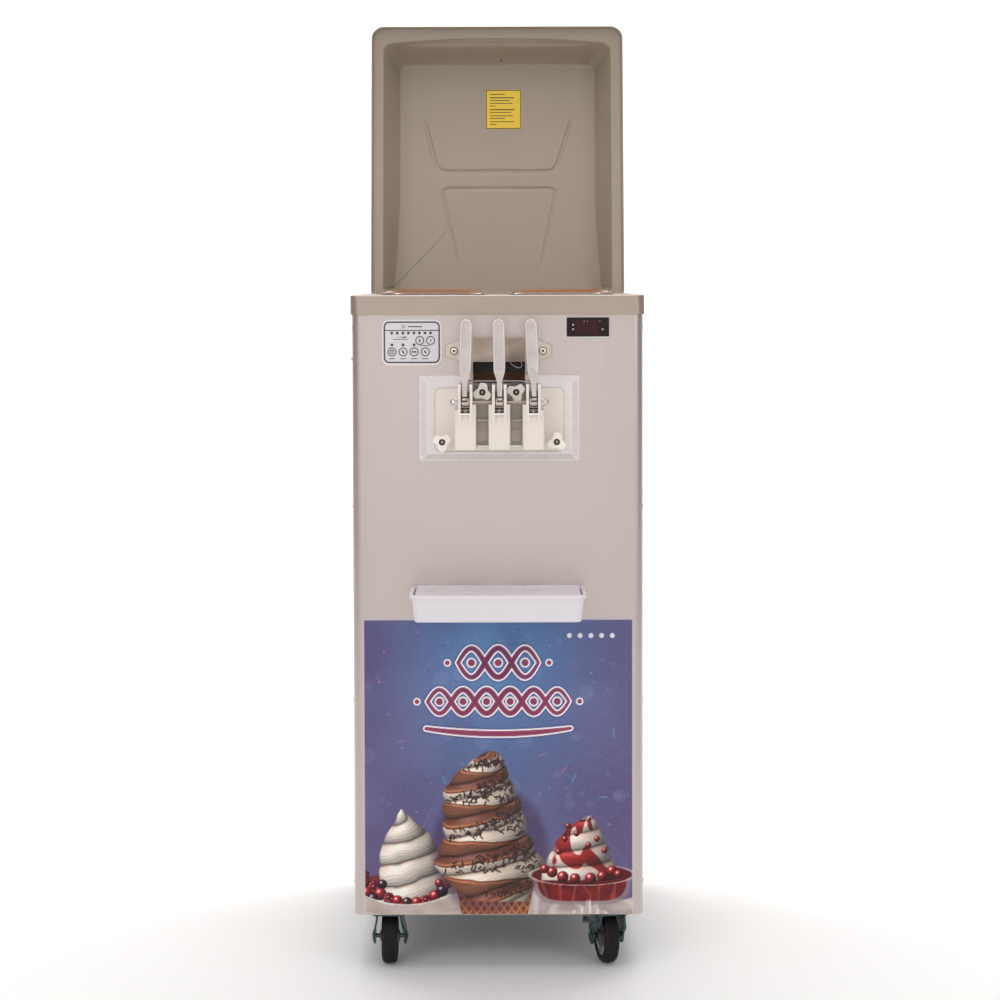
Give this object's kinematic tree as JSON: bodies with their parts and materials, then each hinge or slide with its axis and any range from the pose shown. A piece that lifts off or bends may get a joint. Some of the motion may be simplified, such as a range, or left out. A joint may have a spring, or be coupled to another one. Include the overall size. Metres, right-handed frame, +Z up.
{
  "type": "soft serve machine",
  "caption": "Floor-standing soft serve machine on casters: steel cabinet, hinged top lid over mix hoppers, lever taps on a front dispensing head, and a pull-out drip tray.",
  "frame": {"origin": "on the floor, under the middle of the cabinet, lid open", "axes": "+Z up, -Y towards the person who serves, +X to that person's right when facing the machine"},
  "size_m": [0.5441, 0.8881, 1.8196],
  "materials": {
    "brushed_steel": "brushed stainless sheet, grain upright on the front",
    "frame_paint": "grey painted steel sheet",
    "lid_plastic": "vacuum-formed satin plastic",
    "white_plastic": "moulded, semi-gloss",
    "cream_plastic": "moulded food-grade plastic, semi-gloss",
    "amber_plastic": "tinted, glossy",
    "cast_lever": "satin cast metal",
    "panel_black": "satin black",
    "graphic_film": "printed self-adhesive film",
    "tyre_rubber": "matt rubber",
    "zinc_plate": "bright zinc plate on pressed steel",
    "motor_paint": "dark enamel",
    "aluminium": "machined or satin metal"
  },
  "bodies": {
    "cabinet": {"base_frame": "frame_paint", "front_panel": "brushed_steel", "left_side_panel": "brushed_steel", "right_side_panel": "brushed_steel", "rear_panel": "brushed_steel", "top_deck": "brushed_steel", "graphic_film": "graphic_film", "lid_hinge": "zinc_plate", "hopper_left": "brushed_steel", "hopper_right": "brushed_steel", "freezing_cylinder_left": "aluminium", "freezing_cylinder_right": "aluminium", "drive_motor": "motor_paint", "drive_belt_left": "tyre_rubber", "drive_belt_right": "tyre_rubber", "compressor": "motor_paint", "condenser": "aluminium", "control_panel": "panel_black", "temperature_display": "panel_black", "switch_cover": "brushed_steel", "bezel_frame": "white_plastic", "dispensing_head": "cream_plastic", "pivot_rod": "aluminium", "acorn_nut_left": "aluminium", "acorn_nut_right": "aluminium", "cable_gland": "panel_black"},
    "top_lid": {"lid": "lid_plastic"},
    "cover_left": {"hopper_cover_left": "amber_plastic"},
    "cover_right": {"hopper_cover_right": "amber_plastic"},
    "tube_left": {"feed_tube_left": "white_plastic"},
    "tube_right": {"feed_tube_right": "white_plastic"},
    "rotor_left": {"beater_left": "white_plastic", "driven_pulley_left": "aluminium"},
    "rotor_right": {"beater_right": "white_plastic", "driven_pulley_right": "aluminium"},
    "rotor_motor": {"motor_pulley": "aluminium"},
    "fan": {"condenser_fan": "motor_paint"},
    "rocker": {"power_switch": "panel_black"},
    "handle_left": {"lever_left": "cast_lever"},
    "handle_center": {"lever_center": "cast_lever"},
    "handle_right": {"lever_right": "cast_lever"},
    "valve_left": {"plunger_left": "aluminium"},
    "valve_center": {"plunger_center": "aluminium"},
    "valve_right": {"plunger_right": "aluminium"},
    "hand_nut_top_left": {"knob_top_left": "cream_plastic"},
    "hand_nut_top_right": {"knob_top_right": "cream_plastic"},
    "hand_nut_bottom_left": {"knob_bottom_left": "cream_plastic"},
    "hand_nut_bottom_right": {"knob_bottom_right": "cream_plastic"},
    "tray": {"drip_tray": "white_plastic"},
    "tray_grid": {"drip_grid": "white_plastic"},
    "fork_front_left": {"caster_fork_front_left": "zinc_plate"},
    "fork_front_right": {"caster_fork_front_right": "zinc_plate"},
    "fork_rear_left": {"caster_fork_rear_left": "zinc_plate"},
    "fork_rear_right": {"caster_fork_rear_right": "zinc_plate"},
    "wheel_front_left": {"caster_wheel_front_left": "tyre_rubber"},
    "wheel_front_right": {"caster_wheel_front_right": "tyre_rubber"},
    "wheel_rear_left": {"caster_wheel_rear_left": "tyre_rubber"},
    "wheel_rear_right": {"caster_wheel_rear_right": "tyre_rubber"},
    "pedal_front_right": {"brake_pedal_front_right": "zinc_plate"},
    "pedal_rear_left": {"brake_pedal_rear_left": "zinc_plate"}
  },
  "joints": [
    {"name": "lid_hinge_turn", "type": "hinge", "parent": "cabinet", "child": "top_lid", "pos_m": [0, 0.3005, 1.2475], "axis": [1, 0, 0], "range_deg": [0, 97]},
    {"name": "cover_left_lift", "type": "slide", "parent": "cabinet", "child": "cover_left", "axis": [0, 0, 1], "range_m": [0, 0.25]},
    {"name": "cover_right_lift", "type": "slide", "parent": "cabinet", "child": "cover_right", "axis": [0, 0, 1], "range_m": [0, 0.25]},
    {"name": "tube_left_lift", "type": "slide", "parent": "cabinet", "child": "tube_left", "axis": [0, 0, 1], "range_m": [0, 0.05]},
    {"name": "tube_right_lift", "type": "slide", "parent": "cabinet", "child": "tube_right", "axis": [0, 0, 1], "range_m": [0, 0.05]},
    {"name": "rotor_left_spin", "type": "hinge", "parent": "cabinet", "child": "rotor_left", "pos_m": [-0.0582, 0, 1.028], "axis": [0, 1, 0], "continuous": true},
    {"name": "rotor_right_spin", "type": "hinge", "parent": "cabinet", "child": "rotor_right", "pos_m": [0.0648, 0, 1.028], "axis": [0, 1, 0], "continuous": true},
    {"name": "motor_spin", "type": "hinge", "parent": "cabinet", "child": "rotor_motor", "pos_m": [0.0033, 0, 0.68], "axis": [0, 1, 0], "continuous": true},
    {"name": "fan_spin", "type": "hinge", "parent": "cabinet", "child": "fan", "pos_m": [0.18, 0.027, 0.29], "axis": [1, 0, 0], "continuous": true},
    {"name": "rocker_tilt", "type": "hinge", "parent": "cabinet", "child": "rocker", "pos_m": [-0.267, -0.225, 1.126], "axis": [0, 1, 0], "range_deg": [0, 48]},
    {"name": "handle_left_pull", "type": "hinge", "parent": "cabinet", "child": "handle_left", "pos_m": [-0.0582, -0.37, 1.058], "axis": [1, 0, 0], "range_deg": [0, 50]},
    {"name": "handle_center_pull", "type": "hinge", "parent": "cabinet", "child": "handle_center", "pos_m": [0.0033, -0.37, 1.058], "axis": [1, 0, 0], "range_deg": [0, 50]},
    {"name": "handle_right_pull", "type": "hinge", "parent": "cabinet", "child": "handle_right", "pos_m": [0.0648, -0.37, 1.058], "axis": [1, 0, 0], "range_deg": [0, 50]},
    {"name": "valve_left_lift", "type": "slide", "parent": "cabinet", "child": "valve_left", "axis": [0, 0, 1], "range_m": [0, 0.0127]},
    {"name": "valve_center_lift", "type": "slide", "parent": "cabinet", "child": "valve_center", "axis": [0, 0, 1], "range_m": [0, 0.0127]},
    {"name": "valve_right_lift", "type": "slide", "parent": "cabinet", "child": "valve_right", "axis": [0, 0, 1], "range_m": [0, 0.0127]},
    {"name": "nut_top_left_turn", "type": "hinge", "parent": "cabinet", "child": "hand_nut_top_left", "pos_m": [-0.02745, -0.3325, 1.0748], "axis": [0, 1, 0], "continuous": true},
    {"name": "nut_top_right_turn", "type": "hinge", "parent": "cabinet", "child": "hand_nut_top_right", "pos_m": [0.03405, -0.3325, 1.0748], "axis": [0, 1, 0], "continuous": true},
    {"name": "nut_bottom_left_turn", "type": "hinge", "parent": "cabinet", "child": "hand_nut_bottom_left", "pos_m": [-0.101, -0.3325, 0.984], "axis": [0, 1, 0], "continuous": true},
    {"name": "nut_bottom_right_turn", "type": "hinge", "parent": "cabinet", "child": "hand_nut_bottom_right", "pos_m": [0.1076, -0.3325, 0.984], "axis": [0, 1, 0], "continuous": true},
    {"name": "tray_pull", "type": "slide", "parent": "cabinet", "child": "tray", "axis": [0, -1, 0], "range_m": [0, 0.15]},
    {"name": "grid_lift", "type": "slide", "parent": "tray", "child": "tray_grid", "axis": [0, 0, 1], "range_m": [0, 0.12]},
    {"name": "swivel_front_left", "type": "hinge", "parent": "cabinet", "child": "fork_front_left", "pos_m": [-0.204, -0.27, 0], "axis": [0, 0, 1], "continuous": true},
    {"name": "swivel_front_right", "type": "hinge", "parent": "cabinet", "child": "fork_front_right", "pos_m": [0.207, -0.27, 0], "axis": [0, 0, 1], "continuous": true},
    {"name": "swivel_rear_left", "type": "hinge", "parent": "cabinet", "child": "fork_rear_left", "pos_m": [-0.204, 0.209, 0], "axis": [0, 0, 1], "continuous": true},
    {"name": "swivel_rear_right", "type": "hinge", "parent": "cabinet", "child": "fork_rear_right", "pos_m": [0.204, 0.209, 0], "axis": [0, 0, 1], "continuous": true},
    {"name": "roll_front_left", "type": "hinge", "parent": "fork_front_left", "child": "wheel_front_left", "pos_m": [-0.204, -0.244, 0.0495], "axis": [1, 0, 0], "continuous": true},
    {"name": "roll_front_right", "type": "hinge", "parent": "fork_front_right", "child": "wheel_front_right", "pos_m": [0.20137, -0.24462, 0.0495], "axis": [0.9763, 0.2164, 0], "continuous": true},
    {"name": "roll_rear_left", "type": "hinge", "parent": "fork_rear_left", "child": "wheel_rear_left", "pos_m": [-0.204, 0.235, 0.0495], "axis": [1, 0, 0], "continuous": true},
    {"name": "roll_rear_right", "type": "hinge", "parent": "fork_rear_right", "child": "wheel_rear_right", "pos_m": [0.204, 0.235, 0.0495], "axis": [1, 0, 0], "continuous": true},
    {"name": "brake_front_right", "type": "hinge", "parent": "fork_front_right", "child": "pedal_front_right", "pos_m": [0.19748, -0.22704, 0.0995], "axis": [0.9763, 0.2164, 0], "range_deg": [-8, 0]},
    {"name": "brake_rear_left", "type": "hinge", "parent": "fork_rear_left", "child": "pedal_rear_left", "pos_m": [-0.204, 0.253, 0.0995], "axis": [1, 0, 0], "range_deg": [-8, 0]}
  ],
  "couplings": [
    {"joint": "rotor_right_spin", "follows": "rotor_left_spin", "ratio": 1},
    {"joint": "motor_spin", "follows": "rotor_left_spin", "ratio": 2.3182},
    {"joint": "valve_left_lift", "follows": "handle_left_pull", "m_per_rad": 0.01448},
    {"joint": "valve_center_lift", "follows": "handle_center_pull", "m_per_rad": 0.01448},
    {"joint": "valve_right_lift", "follows": "handle_right_pull", "m_per_rad": 0.01448}
  ]
}
